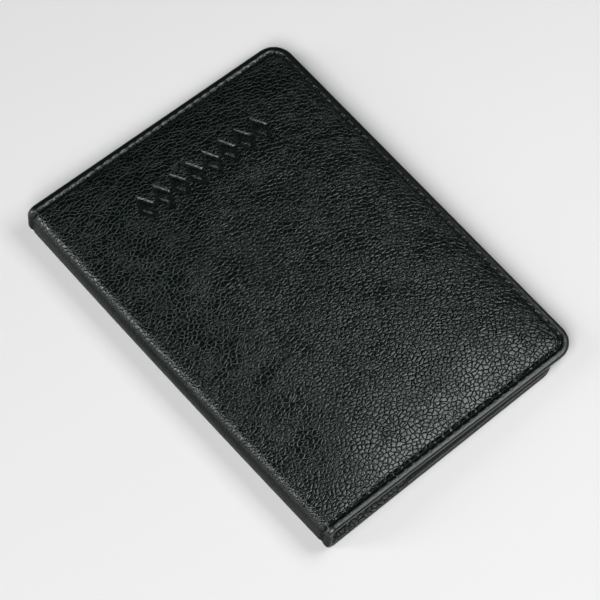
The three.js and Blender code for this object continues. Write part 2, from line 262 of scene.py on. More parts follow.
class CoverSheet:
    """A closed sheet with two rounded corners, lying in a cover at a depth.

    inset is how far the sheet's edge lies inside the cover's. across and along sample the part
    inside the corners, by reach and by height. profile lists (from_edge, depth) from the flat
    of the detailed face, round the edge, to the flat of the plain face, where from_edge is the
    distance from the sheet's edge. relief(u, v, from_edge, run) adds depth to the detailed
    face, and pressed(u, v) is how much of its grain is pressed out.
    """

    def __init__(self, side, inset, across, along, profile, relief, pressed=None):
        self.side = side
        self.inset = inset
        self.across = across
        self.along = along
        self.profile = profile
        self.relief = relief
        self.pressed = pressed
        self.radius = CORNER_RADIUS - inset
        self.angles = np.linspace(0, math.pi / 2, CORNER_STEPS + 2)[1:-1]
        self.points, self.flat, self.edge = [], [], []
        self.index = {}
        self.faces, self.edge_faces = [], []

    def ring(self, from_edge):
        """The line round the tail, fore and head edges at a distance from them."""
        end, half = REACH[self.side] - self.inset, HALF_HEIGHT - self.inset
        centre_u, centre_v = end - self.radius, half - self.radius
        r = self.radius - from_edge
        tail = [(u, from_edge - half) for u in self.across]
        low_arc = [(centre_u + r * math.sin(a), -centre_v - r * math.cos(a)) for a in self.angles]
        fore = [(end - from_edge, v) for v in self.along]
        high_arc = [(centre_u + r * math.cos(a), centre_v + r * math.sin(a)) for a in self.angles]
        head = [(u, half - from_edge) for u in self.across[::-1]]
        return np.array(tail + low_arc + fore + high_arc + head)

    def seam_run(self):
        """How far along the edge seam each point of a ring lies."""
        seam = self.ring(max(SEAM_INSET - self.inset, 0.0))
        steps = np.linalg.norm(np.diff(seam, axis=0), axis=1)
        return np.concatenate([[0], np.cumsum(steps)])

    def grid_key(self, k):
        """Grid position of the k-th point of the innermost ring, where each arc is a point."""
        n_u, n_v, n_arc = len(self.across), len(self.along), len(self.angles)
        if k < n_u:
            return k, 0
        k -= n_u
        if k < n_arc:
            return n_u - 1, 0
        k -= n_arc
        if k < n_v:
            return n_u - 1, k
        k -= n_v
        if k < n_arc:
            return n_u - 1, n_v - 1
        return n_u - 1 - (k - n_arc), n_v - 1

    def vertex(self, key, u, v, depth, detailed, from_edge=None, run=0.0, laid=None):
        """The number of the point with a key, which is added where it is new.

        laid is where the point lies once the edge is unrolled, if that isn't at (u, v).
        """
        if key in self.index:
            return self.index[key]
        from_edge = self.radius if from_edge is None else from_edge
        edge = float(1 - smooth(*EDGE_BAND, from_edge + self.inset))
        if detailed:
            depth += self.relief(u, v, from_edge, run)
            if self.pressed:
                edge = max(edge, self.pressed(u, v))
        self.index[key] = len(self.points)
        self.points.append((u, v, depth))
        self.flat.append((u, v) if laid is None else tuple(laid))
        self.edge.append(edge)
        return self.index[key]

    def face(self, corners, is_edge=False):
        """Adds a face, without the corners that fall together, unless nothing is left of it."""
        kept = [c for i, c in enumerate(corners) if c != corners[i - 1]]
        if len(kept) < 3:
            return
        if is_edge:
            self.edge_faces.append(len(self.faces))
        self.faces.append(kept)

    def add_detailed_face(self):
        depth = self.profile[0][1]
        for i, u in enumerate(self.across):
            for j, v in enumerate(self.along):
                self.vertex(("detailed", i, j), u, v, depth, True)
        for i in range(len(self.across) - 1):
            for j in range(len(self.along) - 1):
                cell = (i, j), (i + 1, j), (i + 1, j + 1), (i, j + 1)
                self.face([self.index[("detailed", *corner)] for corner in cell])

    def add_rim(self):
        """Adds the rings round the edge, from the detailed face to the plain one."""
        run = self.seam_run()
        around = range(len(run))
        rings = [[self.index[("detailed", *self.grid_key(k))] for k in around]]
        outermost = min(range(len(self.profile)), key=lambda n: self.profile[n][0])
        unrolled = laid_flat(self.profile)
        for number, (from_edge, depth) in enumerate(self.profile[1:-1], 1):
            line, laid = self.ring(from_edge), self.ring(unrolled[number])
            rings.append([self.vertex(("ring", number, k), *line[k], depth, number <= outermost,
                                      from_edge, run[k], laid[k]) for k in around])
        inner, depth = self.ring(self.radius), self.profile[-1][1]
        rings.append([self.vertex(("plain", *self.grid_key(k)), *inner[k], depth, False)
                      for k in around])
        for number, (upper, lower) in enumerate(zip(rings, rings[1:])):
            is_edge = self.profile[number][0] == 0 and self.profile[number + 1][0] == 0
            for k in around[:-1]:
                self.face([upper[k], lower[k], lower[k + 1], upper[k + 1]], is_edge)
        return rings

    def add_plain_face(self):
        """Adds a grid over the spine and fold, and one flat face over the cover."""
        n_u, n_v = len(self.across), len(self.along)
        depth = self.profile[-1][1]
        bend = next((i for i, u in enumerate(self.across) if u >= COVER_START[self.side]), 0)
        for i in range(bend + 1):
            for j, v in enumerate(self.along):
                self.vertex(("plain", i, j), self.across[i], v, depth, False)
        for i in range(bend):
            for j in range(n_v - 1):
                cell = (i, j), (i, j + 1), (i + 1, j + 1), (i + 1, j)
                self.face([self.index[("plain", *corner)] for corner in cell])
        border = [(bend, j) for j in range(n_v)]
        border += [(i, n_v - 1) for i in range(bend + 1, n_u)]
        border += [(n_u - 1, j) for j in range(n_v - 2, -1, -1)]
        border += [(i, 0) for i in range(n_u - 2, bend, -1)]
        self.face([self.index[("plain", *corner)] for corner in border])

    def close_open_side(self, rings):
        """Adds the profile at each end, and a strip between the two faces."""
        self.face([ring[0] for ring in rings][::-1])
        self.face([ring[-1] for ring in rings])
        for j in range(len(self.along) - 1):
            self.face([self.index["detailed", 0, j], self.index["detailed", 0, j + 1],
                       self.index["plain", 0, j + 1], self.index["plain", 0, j]])

    def build(self, name, inner_face=False):
        """The sheet's mesh. inner_face is true where its detailed face looks inwards."""
        self.add_detailed_face()
        rings = self.add_rim()
        self.add_plain_face()
        self.close_open_side(rings)
        faces = self.faces
        if (self.side == REAR) != inner_face:
            faces = [face[::-1] for face in faces]
        placed = place(self.side, *np.array(self.points).T)
        u, v = np.array(self.flat).T
        flat = np.column_stack([u * self.side, v, 0 * u])
        return make_mesh(name, placed, faces, flat, self.edge, self.edge_faces)


def slab(name, across, along, face_depth, back_depth):
    """A closed plate in the front cover: two grids, by reach and height, joined at their rims.

    face_depth(u, v) is its inner face and back_depth(u, v) the face towards the cover.
    """
    u, v = (g.ravel() for g in np.meshgrid(across, along, indexing="ij"))
    n_u, n_v = len(across), len(along)
    count = n_u * n_v
    depth = np.concatenate([face_depth(u, v), back_depth(u, v)])
    u, v = np.tile(u, 2), np.tile(v, 2)
    faces = []
    for i in range(n_u - 1):
        for j in range(n_v - 1):
            a, b, c, d = i * n_v + j, (i + 1) * n_v + j, (i + 1) * n_v + j + 1, i * n_v + j + 1
            faces += [[d, c, b, a], [a + count, b + count, c + count, d + count]]
    rim = list(range(n_v)) + [i * n_v + n_v - 1 for i in range(1, n_u)]
    rim += [(n_u - 1) * n_v + j for j in range(n_v - 2, -1, -1)]
    rim += [i * n_v for i in range(n_u - 2, 0, -1)]
    first_edge = len(faces)
    for a, b in zip(rim, rim[1:] + rim[:1]):
        faces.append([a, a + count, b + count, b])
    edge_faces = list(range(first_edge, len(faces)))
    flat = np.column_stack([u, v, 0 * u])
    return make_mesh(name, place(FRONT, u, v, depth), faces, flat, None, edge_faces)


def tube(points, up, radius, sides, vertices, faces):
    """Adds a closed tube along points to vertices and faces. up points out of the surface."""
    base = len(vertices)
    along = np.gradient(points, axis=0)
    along /= np.linalg.norm(along, axis=1)[:, None]
    out = up - (up * along).sum(1)[:, None] * along
    out /= np.linalg.norm(out, axis=1)[:, None]
    across = np.cross(along, out)
    angles = np.arange(sides) * 2 * math.pi / sides
    for centre, a, b in zip(points, out, across):
        for angle in angles:
            vertices.append(centre + radius * (math.cos(angle) * a + math.sin(angle) * b))
    for i in range(len(points) - 1):
        for k in range(sides):
            n = (k + 1) % sides
            faces.append([base + i * sides + k, base + i * sides + n,
                          base + (i + 1) * sides + n, base + (i + 1) * sides + k])
    faces.append([base + k for k in range(sides)][::-1])
    faces.append([base + (len(points) - 1) * sides + k for k in range(sides)])


STITCH_STEPS = 9
STITCH_SIDES = 8
STITCH_SHARE = 0.78             # how much of the pitch a stitch takes up
STITCH_DIP = 0.75               # how deep its two ends go into the needle holes
STITCH_LIFT = 0.06              # how far its middle stands above the seam
STITCH_SLANT = 0.10


def stitches(name, side, seam):
    """Every stitch of a seam as one piece.

    seam is (line, length, surface, inward). line(run) gives flat points along the seam,
    surface(u, v) is the depth that the thread lies at, and inward is 1 on a face that looks
    into the holder and -1 on its outer face.
    """
    line, length, surface, inward = seam
    vertices, faces = [], []
    t = np.linspace(0, 1, STITCH_STEPS)
    dip = STITCH_DIP * np.abs(2 * t - 1) ** 3.5
    slant = STITCH_SLANT * (t - 0.5)
    count = max(1, int(round(length / STITCH_PITCH)))
    for number in range(count):
        run = (number + (1 - STITCH_SHARE) / 2 + STITCH_SHARE * t) * length / count
        u, v = line(run).T
        depth = surface(u, v) - inward * (dip - STITCH_LIFT)
        points = place(side, u, v + slant, depth)
        above = place(side, u, v + slant, depth + inward)
        tube(points, above - points, THREAD_RADIUS * MM, STITCH_SIDES, vertices, faces)
    points = np.array(vertices)
    return make_mesh(name, points, faces, points / MM)


def edge_line(side):
    """The seam line round a cover's three edges, as a function of run, and its length."""
    radius = CORNER_RADIUS - SEAM_INSET
    half = HALF_HEIGHT - SEAM_INSET
    straight = REACH[side] - SEAM_INSET - radius
    arc = radius * math.pi / 2
    fore = 2 * (half - radius)
    total = 2 * straight + 2 * arc + fore

    def line(run):
        run = np.asarray(run, float)
        back = run > total / 2
        near = np.where(back, total - run, run)
        angle = np.clip((near - straight) / radius, 0, math.pi / 2)
        u = np.minimum(near, straight) + radius * np.sin(angle)
        v = -half + radius * (1 - np.cos(angle)) + np.maximum(near - straight - arc, 0)
        return np.stack([u, np.where(back, -v, v)], axis=-1)

    return line, total


def open_line(*corners):
    """A seam line along straight stretches, as a function of run, and its length."""
    corners = np.array(corners, float)
    ends = np.concatenate([[0], np.cumsum(np.linalg.norm(np.diff(corners, axis=0), axis=1))])

    def line(run):
        return np.stack([np.interp(run, ends, corners[:, i]) for i in (0, 1)], axis=-1)

    return line, float(ends[-1])


# ---------------- outer leather

EDGE_ROLL = 0.8                 # radius of the turned edge
GROOVE_DEPTH = 0.42
GROOVE_REACH = 1.054            # the groove ends this far from the seam
PADDING = 2.3                   # how far the front cover swells above its seam
PADDING_REACH = 9.5             # nearly two thirds of it is reached this far from the seam
PADDING_START = 25.0            # it comes in over this distance from the fold
COVER_BAND = 8.0                # and so does a cover's unevenness over this distance
CALM_BAND = (1.0, 7.0)          # which fades between these distances from the edge
SEAM_SAG = 0.14                 # how far the leather is drawn down along each stitch
SEAM_BRIDGE = 0.38              # and how far it stands up from there between two stitches
SEAM_WIDTH = 0.7
WELT_RISE = 0.08                # rise of the welt outside each stitch
WELT_INSET = 1.5
WELT_WIDTH = 0.6
WAVE_LIFT = 0.1                 # the front cover's waves are lifted clear of the board
REAR_SAG = 0.04                 # the rear cover's face is this much inside its edge


def groove(from_edge):
    """Depth of the groove that the seam lies in."""
    return GROOVE_DEPTH * (1 - smooth(0.0, GROOVE_REACH, np.abs(from_edge - SEAM_INSET)))


def leather_profile():
    """From the flat of the outer face over the groove and the welt, round the turned edge."""
    top = [7.0, 6.2, 5.5, 4.9, 4.4, 4.0, 3.7, 3.45, 3.2]
    top += [3.0, 2.8, 2.6, 2.4, 2.15, 1.9, 1.65, 1.35, 1.05]
    profile = [(from_edge, float(groove(from_edge))) for from_edge in top]
    for angle in np.linspace(75, -90, 10):
        a = math.radians(angle)
        profile.append((EDGE_ROLL * (1 - math.cos(a)), EDGE_ROLL * (1 - math.sin(a))))
    profile += [(1.6, 2 * EDGE_ROLL - 0.02), (4.0, TURN_DEPTH), (TURN_WIDTH - 0.1, TURN_DEPTH)]
    return profile + [(TURN_WIDTH, BOARD_ROOM_DEPTH)]


def padding(u, v):
    """How far the front cover swells above its edge."""
    rise = [1 - math.exp(-max(d - SEAM_INSET, 0) / PADDING_REACH)
            for d in (HALF_HEIGHT - abs(v), REACH[FRONT] - u)]
    start = float(smooth(COVER_START[FRONT], COVER_START[FRONT] + PADDING_START, u))
    return PADDING * rise[0] * rise[1] * start


def lozenges(distance, v):
    """The front cover's pressed lozenges: their share of the full depth, and of lost grain.

    distance is from the spine's outer face.
    """
    first = ORNAMENT_CENTRE[0] - ORNAMENT_PITCH * (ORNAMENT_COUNT - 1) / 2
    number = np.clip(np.round((distance - first) / ORNAMENT_PITCH), 0, ORNAMENT_COUNT - 1)
    x = distance - first - number * ORNAMENT_PITCH
    y = v - ORNAMENT_CENTRE[1]
    half_w, half_h = ORNAMENT_HALF
    slant = half_w * half_h / math.hypot(half_w, half_h)
    inside = slant * (1 - abs(x) / half_w - abs(y) / half_h)
    depth = smooth(*ORNAMENT_WALL, inside) - ORNAMENT_MIDDLE * smooth(*ORNAMENT_STROKE, inside)
    return float(depth), float(smooth(-GRAIN_MARGIN, 0.0, inside))


def near_ornament(distance, v):
    half_length = ORNAMENT_PITCH * ORNAMENT_COUNT / 2 + ORNAMENT_MARGIN
    return (abs(distance - ORNAMENT_CENTRE[0]) < half_length
            and abs(v - ORNAMENT_CENTRE[1]) < ORNAMENT_HALF[1] + ORNAMENT_MARGIN)


def distance_of(u):
    """Distance from the spine's outer face of a point on the front cover."""
    return u - COVER_START[FRONT] + tangent_length(TURN[FRONT])


def pressed_grain(u, v):
    """How much of the grain is pressed out of the front cover."""
    if not near_ornament(distance_of(u), v):
        return 0.0
    return GRAIN_PRESSED * lozenges(distance_of(u), v)[1]


def cover_waves(u, v):
    """The slight unevenness of a soft cover."""
    return (0.10 * math.sin(u / 9.7 + 1.3) * math.sin(v / 13.1 + 0.4)
            + 0.05 * math.sin(u / 4.3 + v / 6.1) + 0.04 * math.sin(v / 3.7 - u / 8.9 + 2.0))


def leather_relief(side):
    """The outer face's relief: its seam, its ornament and its unevenness."""
    length = edge_line(side)[1]
    pitch = length / round(length / STITCH_PITCH)

    def seam(from_edge, run):
        """The pull of the thread: lowest along each stitch, with a bridge at its ends."""
        bridge = (0.5 + 0.5 * math.cos(2 * math.pi * run / pitch)) ** 3
        near_seam = math.exp(-((from_edge - SEAM_INSET) / SEAM_WIDTH) ** 2)
        welt = math.exp(-((from_edge - WELT_INSET) / WELT_WIDTH) ** 2)
        return near_seam * (SEAM_SAG - SEAM_BRIDGE * bridge) - WELT_RISE * welt * (1 - bridge)

    def relief(u, v, from_edge, run):
        depth = seam(from_edge, run)
        cover = float(smooth(COVER_START[side], COVER_START[side] + COVER_BAND, u))
        calm = float(smooth(*CALM_BAND, from_edge))
        if side == REAR:
            return depth + calm * cover * REAR_SAG
        depth += calm * cover * (cover_waves(u, v) - WAVE_LIFT)
        depth -= padding(u, v)
        if near_ornament(distance_of(u), v):
            depth += ORNAMENT_DEPTH * lozenges(distance_of(u), v)[0]
        return depth

    return relief


WALL_STEP = 0.5                 # how far apart points are on the spine's flat face
FOLD_STEP = 0.32                # and on the folds
LEATHER_STEP = 0.7              # how far apart the leather's points are
ORNAMENT_STEP = 0.26            # and how far at the ornament
ORNAMENT_BAND = (27.5, 5.6)     # half the length and height of that finer part


def fold_samples(side):
    """Reaches over the spine and fold, close together where the leather bends."""
    return joined(spaced(0, WALL_HALF, WALL_STEP),
                  spaced(WALL_HALF, COVER_START[side], FOLD_STEP))


def build_outer_leather(side):
    """The leather of one cover and of its half of the spine, finer round the ornament."""
    start, end = COVER_START[side], REACH[side] - CORNER_RADIUS
    top = HALF_HEIGHT - CORNER_RADIUS
    if side == FRONT:
        near, far = (reach_of(side, ORNAMENT_CENTRE[0] + s * ORNAMENT_BAND[0]) for s in (-1, 1))
        low_v, high_v = (ORNAMENT_CENTRE[1] + s * ORNAMENT_BAND[1] for s in (-1, 1))
        flat = joined(spaced(start, near, LEATHER_STEP), spaced(near, far, ORNAMENT_STEP),
                      spaced(far, end, LEATHER_STEP))
        along = joined(spaced(-top, low_v, LEATHER_STEP), spaced(low_v, high_v, ORNAMENT_STEP),
                       spaced(high_v, top, LEATHER_STEP))
    else:
        flat = spaced(start, end, LEATHER_STEP)
        along = spaced(-top, top, LEATHER_STEP)
    across = joined(fold_samples(side), flat)
    sheet = CoverSheet(side, 0.0, across, along, leather_profile(), leather_relief(side),
                       pressed_grain if side == FRONT else None)
    return sheet.build(f"{BODY[side]}_outer_leather")


# ---------------- linings and pockets


def build_lining(side):
    """The lining of one cover and of its half of the spine."""
    back, face = LINING_DEPTH
    radius = CORNER_RADIUS - LINING_INSET
    profile = [(radius, face), (1.0, face), (0.0, face), (0.0, back), (1.0, back), (radius, back)]
    across = joined(fold_samples(side), spaced(COVER_START[side], REACH[side] - CORNER_RADIUS, 2.5))
    along = spaced(CORNER_RADIUS - HALF_HEIGHT, HALF_HEIGHT - CORNER_RADIUS, 1.5)
    sheet = CoverSheet(side, LINING_INSET, across, along, profile, lambda *point: 0.0)
    return sheet.build(f"{BODY[side]}_inside_lining", inner_face=True)


SLEEVE_SEAM_PRESS = 0.22        # how far the sleeve is pressed down at its edge seam
SLEEVE_HEM_PRESS = 0.18         # and at its hem's seam
SLEEVE_HEM_RISE = 0.14          # how much thicker its hem is
SLEEVE_WAVES = 0.10
MOUTH_ROUNDING = (0.15, 0.12)   # depth and width of the rounding along its mouth


def sleeve_relief(side):
    """The sleeve is pressed down along its seams, and its hem is a fold of leather."""
    mouth = reach_of(side, SLEEVE_MOUTH[side])
    seam = SEAM_INSET - SLEEVE_INSET

    def relief(u, v, from_edge, run):
        depth = -SLEEVE_SEAM_PRESS * math.exp(-((from_edge - seam) / SEAM_WIDTH) ** 2)
        inside = float(smooth(SLEEVE_LAND - 1.5, SLEEVE_LAND + 0.5, from_edge))
        hem = u - mouth - HEM_INSET
        depth -= inside * SLEEVE_HEM_PRESS * math.exp(-(hem / 0.55) ** 2)
        depth += inside * SLEEVE_HEM_RISE * (1 - float(smooth(0.6, 1.4, hem)))
        depth += inside * SLEEVE_WAVES * math.sin(u / 11.0 + 0.6) * math.sin(v / 17.0 + 1.1)
        return depth - MOUTH_ROUNDING[0] * math.exp(-(u - mouth) / MOUTH_ROUNDING[1])

    return relief


def build_sleeve(side):
    """The pocket in one cover: a leather panel, stitched down round three edges."""
    back, face = SLEEVE_DEPTH
    radius = CORNER_RADIUS - SLEEVE_INSET
    face_side = [(radius, face), (5.6, face), (4.6, face - 0.02), (3.6, face - 0.12),
                 (3.0, face - 0.16), (2.6, face - 0.18), (2.2, face - 0.2), (1.8, face - 0.2),
                 (1.2, face - 0.22), (0.6, face - 0.24), (0.18, face - 0.28), (0.0, face - 0.42)]
    back_side = [(0.0, SLEEVE_LAND_DEPTH), (SLEEVE_LAND - 0.2, SLEEVE_LAND_DEPTH),
                 (SLEEVE_LAND, back), (radius, back)]
    mouth = reach_of(side, SLEEVE_MOUTH[side])
    across = joined(spaced(mouth, mouth + 0.4, 0.1), spaced(mouth + 0.4, mouth + 4.5, 0.35),
                    spaced(mouth + 4.5, REACH[side] - CORNER_RADIUS, 1.2))
    along = spaced(CORNER_RADIUS - HALF_HEIGHT, HALF_HEIGHT - CORNER_RADIUS, 1.2)
    sheet = CoverSheet(side, SLEEVE_INSET, across, along, face_side + back_side,
                       sleeve_relief(side))
    return sheet.build(f"{BODY[side]}_passport_pocket", inner_face=True)


CARD_LAND_PRESS = 0.10          # how far a card pocket is pressed down on its land
CARD_SEAM_PRESS = 0.10          # and further at its seam
CARD_HEM_PRESS = 0.12           # and at its hem
RIM_ROUNDING = 0.12             # depth and width of the rounding of its edge
RIM_SAMPLES = (0, 0.1, 0.25, 0.5, 0.8, 1.1, 1.4, 1.8, 2.2, 2.6, 3.0, 3.5)
CARD_STEP = 1.5


def rimmed(start, end):
    """Samples from start to end that lie close together near both."""
    middle = spaced(start + RIM_SAMPLES[-1], end - RIM_SAMPLES[-1], CARD_STEP)
    return joined(start + np.array(RIM_SAMPLES), middle, end - np.array(RIM_SAMPLES[::-1]))


def build_card_pocket(name):
    """A card pocket on the front sleeve, open towards the head."""
    mouth = CARD_MOUTH[name]
    back, face = CARD_DEPTHS[name]

    def from_sides(u, v):
        """Distance from the pocket's sides and bottom."""
        return np.minimum(np.minimum(u - CARD_NEAR, CARD_FAR - u), v - CARD_BOTTOM)

    def land(u, v):
        """1 on the stitched land round the pocket's sides and bottom, 0 inside it."""
        return 1 - smooth(CARD_LAND - 0.4, CARD_LAND + 0.4, from_sides(u, v))

    def face_depth(u, v):
        rim = np.minimum(from_sides(u, v), mouth - v)
        seam = from_sides(u, v) - CARD_SEAM_INSET
        hem = mouth - v - HEM_INSET
        depth = face - RIM_ROUNDING * np.exp(-rim / RIM_ROUNDING) - CARD_LAND_PRESS * land(u, v)
        depth = depth - CARD_SEAM_PRESS * np.exp(-(seam / 0.4) ** 2)
        return depth - CARD_HEM_PRESS * np.exp(-(hem / 0.5) ** 2) * (1 - land(u, v))

    def back_depth(u, v):
        return back - CARD_LAND_RISE * land(u, v)

    return slab(f"{name}_card_pocket_leather", rimmed(CARD_NEAR, CARD_FAR),
                rimmed(CARD_BOTTOM, mouth), face_depth, back_depth)


# ---------------- materials


class Nodes:
    """The nodes of a new material or world, and short ways to add more and link them."""

    def __init__(self, owner, shader="Principled BSDF"):
        owner.use_nodes = True
        self.owner = owner
        self.tree = owner.node_tree
        self.shader = self.tree.nodes[shader]

    def feed(self, socket, value):
        """Links an input to another node's output, or sets it to a value."""
        if isinstance(value, bpy.types.NodeSocket):
            self.tree.links.new(value, socket)
        else:
            socket.default_value = value

    def add(self, kind, inputs=(), **settings):
        node = self.tree.nodes.new(kind)
        for key, value in settings.items():
            setattr(node, key, value)
        for key, value in dict(inputs).items():
            self.feed(node.inputs[key], value)
        return node

    def set(self, **inputs):
        """Feeds the shader's inputs, with _ for each space in their names."""
        for key, value in inputs.items():
            self.feed(self.shader.inputs[key.replace("_", " ")], value)

    def attribute(self, name, output):
        return self.add("ShaderNodeAttribute", attribute_name=name).outputs[output]

    def flat(self, scale=(1, 1, 1), turn=0.0):
        """The piece's flat coordinates, in millimetres."""
        inputs = {"Vector": self.attribute("flat", "Vector"), "Scale": scale,
                  "Rotation": (0, 0, turn)}
        return self.add("ShaderNodeMapping", inputs).outputs["Vector"]

    def math(self, operation, *values):
        return self.add("ShaderNodeMath", dict(enumerate(values)), operation=operation).outputs[0]

    def product(self, first, second):
        return self.math("MULTIPLY", first, second)

    def one_minus(self, value):
        return self.math("SUBTRACT", 1.0, value)

    def total(self, *values):
        total = values[0]
        for value in values[1:]:
            total = self.math("ADD", total, value)
        return total

    def noise(self, vector, scale, detail=2.0, roughness=0.5):
        node = self.add("ShaderNodeTexNoise", {"Vector": vector, "Scale": scale,
                                               "Detail": detail, "Roughness": roughness})
        return node.outputs["Fac"]

    def warp(self, vector, scale, amount):
        """The same coordinates, pushed about by noise."""
        noise = self.add("ShaderNodeTexNoise", {"Vector": vector, "Scale": scale, "Detail": 1.0})
        centred = self.add("ShaderNodeVectorMath", {0: noise.outputs["Color"], 1: (0.5, 0.5, 0.5)},
                           operation="SUBTRACT").outputs[0]
        push = self.add("ShaderNodeVectorMath", {0: centred, "Scale": amount},
                        operation="SCALE").outputs[0]
        return self.add("ShaderNodeVectorMath", {0: vector, 1: push}, operation="ADD").outputs[0]

    def ramp(self, factor, *stops):
        """The colour or grey value at a factor between (position, colour or grey) stops."""
        node = self.add("ShaderNodeValToRGB", {"Fac": factor})
        elements = node.color_ramp.elements
        while len(elements) < len(stops):
            elements.new(0.5)
        for element, (position, colour) in zip(elements, stops):
            element.position = position
            element.color = (*colour, 1) if hasattr(colour, "__len__") else (colour,) * 3 + (1,)
        return node.outputs["Color"]

    def cell_borders(self, vector, scale):
        """Distance to the nearest border of irregular cells."""
        node = self.add("ShaderNodeTexVoronoi", {"Vector": vector, "Scale": scale},
                        feature="DISTANCE_TO_EDGE", voronoi_dimensions="2D")
        return node.outputs["Distance"]

    def bump(self, height, distance):
        """A bumped normal. A height of 1 stands out by distance, in millimetres."""
        node = self.add("ShaderNodeBump", {"Height": height, "Distance": distance * MM})
        return node.outputs["Normal"]


PEBBLE_STRETCH = (0.86, 1.14, 1.0)  # the pebbles are a little longer than wide
PEBBLE_TURN = 0.5
PEBBLE_WARPS = ((0.35, 1.3), (1.6, 0.35))   # scale and push of the noise that bends them
SPLIT_SCALE = 1.9               # how much finer the cells are that split some pebbles
SPLIT_SHADE = 0.3            # how much a split darkens the pebble that it crosses: painted shade in its colour
PORE_SCALE = 5.0
PORE_HEIGHT = 0.08              # against a pebble's height of 1
PORE_ROUGHNESS = 0.1
PRESSED_HEIGHT = 0.85           # share of the pebbles' height that is pressed out
PRESSED_PORES = 0.8             # and of the pores' height
PRESSED_CREASES = 0.8           # how far out of its creases pressed leather is, at the least
CREASE_ROUGHNESS = 0.12
CREASE_SHINE = 0.3              # share of the shine that a crease keeps
EDGE_ROUGHNESS = 0.10           # what the handled edge adds to the leather's roughness
SPINE_ROUGHNESS = 0.12          # and what the spine's face adds
SPINE_SHINE_LOST = 0.93
SPINE_BAND = (0.3, 1.8)         # that ends this far past the spine's flat face
SPECULAR_TINT = (0.91, 1.0, 0.965, 1.0)


def spine_face(m):
    """1 on the spine's face and 0 on the covers."""
    reach = m.math("ABSOLUTE", m.add("ShaderNodeSeparateXYZ", {0: m.flat()}).outputs["X"])
    return m.add("ShaderNodeMapRange", {"Value": reach, "From Min": WALL_HALF + SPINE_BAND[0],
                                        "From Max": WALL_HALF + SPINE_BAND[1],
                                        "To Min": 1.0, "To Max": 0.0}).outputs["Result"]


def pebble_grain(m, cell, pressed):
    """The grain's height, how far each point is out of its creases, and its pores."""
    grain = m.flat(PEBBLE_STRETCH, PEBBLE_TURN)
    for scale, push in PEBBLE_WARPS:
        grain = m.warp(grain, scale, push)
    border = m.cell_borders(grain, 1 / cell)
    split = m.cell_borders(grain, SPLIT_SCALE / cell)
    pebble = m.ramp(border, (0.0, 0.0), (0.05, 0.42), (0.12, 0.72), (0.24, 0.92), (0.45, 1.0))
    small = m.ramp(split, (0.0, 0.0), (0.05, 0.5), (0.2, 1.0))
    valley = m.ramp(border, (0.0, 0.0), (0.11, 1.0))
    split_share = m.ramp(m.noise(grain, 0.12), (0.35, 0.05), (0.65, 0.35))
    pores = m.noise(grain, PORE_SCALE, 3.0, 0.6)
    height = m.total(pebble, m.product(small, split_share))
    height = m.product(height, m.one_minus(m.product(pressed, PRESSED_HEIGHT)))
    fine = m.product(m.product(pores, PORE_HEIGHT), m.one_minus(m.product(pressed, PRESSED_PORES)))
    crease = m.product(valley, m.total(1 - SPLIT_SHADE, m.product(small, SPLIT_SHADE)))
    crease = m.math("MAXIMUM", crease, m.product(pressed, PRESSED_CREASES))
    return m.total(height, fine), crease, pores


def pebble_leather(name, cell, relief, colours, roughness, specular=0.5, pressed=1.0):
    """Pebble-grain leather: rounded cells, some split in two, with fine pores over them.

    cell and relief are a pebble's width and height in millimetres. colours go from the creases
    to the tops, and the darker creases are painted shade. The grain is pressed flat along the
    sheet's edges and in its ornament, and pressed says how flat, from 0 to 1. The face of the
    spine is more matt than the rest.
    """
    m = Nodes(bpy.data.materials.new(name))
    edge = m.product(m.attribute("edge", "Fac"), pressed)
    spine = spine_face(m)
    height, crease, pores = pebble_grain(m, cell, edge)
    shine = m.math("SUBTRACT", specular, m.product(spine, SPINE_SHINE_LOST * specular))
    # painted shade: the base colour darkens from the pebble tops into the creases and the splits
    m.set(Base_Color=m.ramp(crease, (0.0, colours[0]), (0.45, colours[1]), (1.0, colours[2])),
          Roughness=m.total(m.product(m.one_minus(crease), CREASE_ROUGHNESS),
                            m.total(roughness - PORE_ROUGHNESS / 2,
                                    m.product(pores, PORE_ROUGHNESS)),
                            m.product(edge, EDGE_ROUGHNESS),
                            m.product(spine, SPINE_ROUGHNESS)),
          Normal=m.bump(height, relief),
          Specular_Tint=SPECULAR_TINT,
          Specular_IOR_Level=m.product(
              shine, m.total(CREASE_SHINE, m.product(crease, 1 - CREASE_SHINE))))
    return m.owner


def thread_material():
    m = Nodes(bpy.data.materials.new("waxed_thread"))
    twist = m.add("ShaderNodeTexWave", {"Vector": m.flat(turn=0.6), "Scale": 1.6,
                                        "Distortion": 0.6}, bands_direction="DIAGONAL")
    twist = twist.outputs["Fac"]
    # painted shade: the thread is darker in the grooves of its twist, where its bump is lowest
    m.set(Base_Color=m.ramp(twist, (0.0, (0.004, 0.004, 0.005)), (1.0, (0.012, 0.012, 0.013))),
          Normal=m.bump(twist, 0.05), Roughness=0.65, Specular_IOR_Level=0.2)
    return m.owner


def raw_edge_material():
    m = Nodes(bpy.data.materials.new("raw_leather_edge"))
    fibre = m.noise(m.flat(), 2.5, 3.0, 0.7)
    m.set(Base_Color=m.ramp(fibre, (0.3, (0.10, 0.10, 0.095)), (0.7, (0.22, 0.215, 0.20))),
          Normal=m.bump(fibre, 0.05), Roughness=0.85)
    return m.owner


def board_material():
    m = Nodes(bpy.data.materials.new("leather_fibre_board"))
    fleck = m.add("ShaderNodeTexNoise", {"Scale": 900.0, "Detail": 4.0}).outputs["Fac"]
    m.set(Base_Color=m.ramp(fleck, (0.35, (0.05, 0.034, 0.02)), (0.7, (0.10, 0.07, 0.042))),
          Normal=m.bump(fleck, 0.05), Roughness=0.9)
    return m.owner
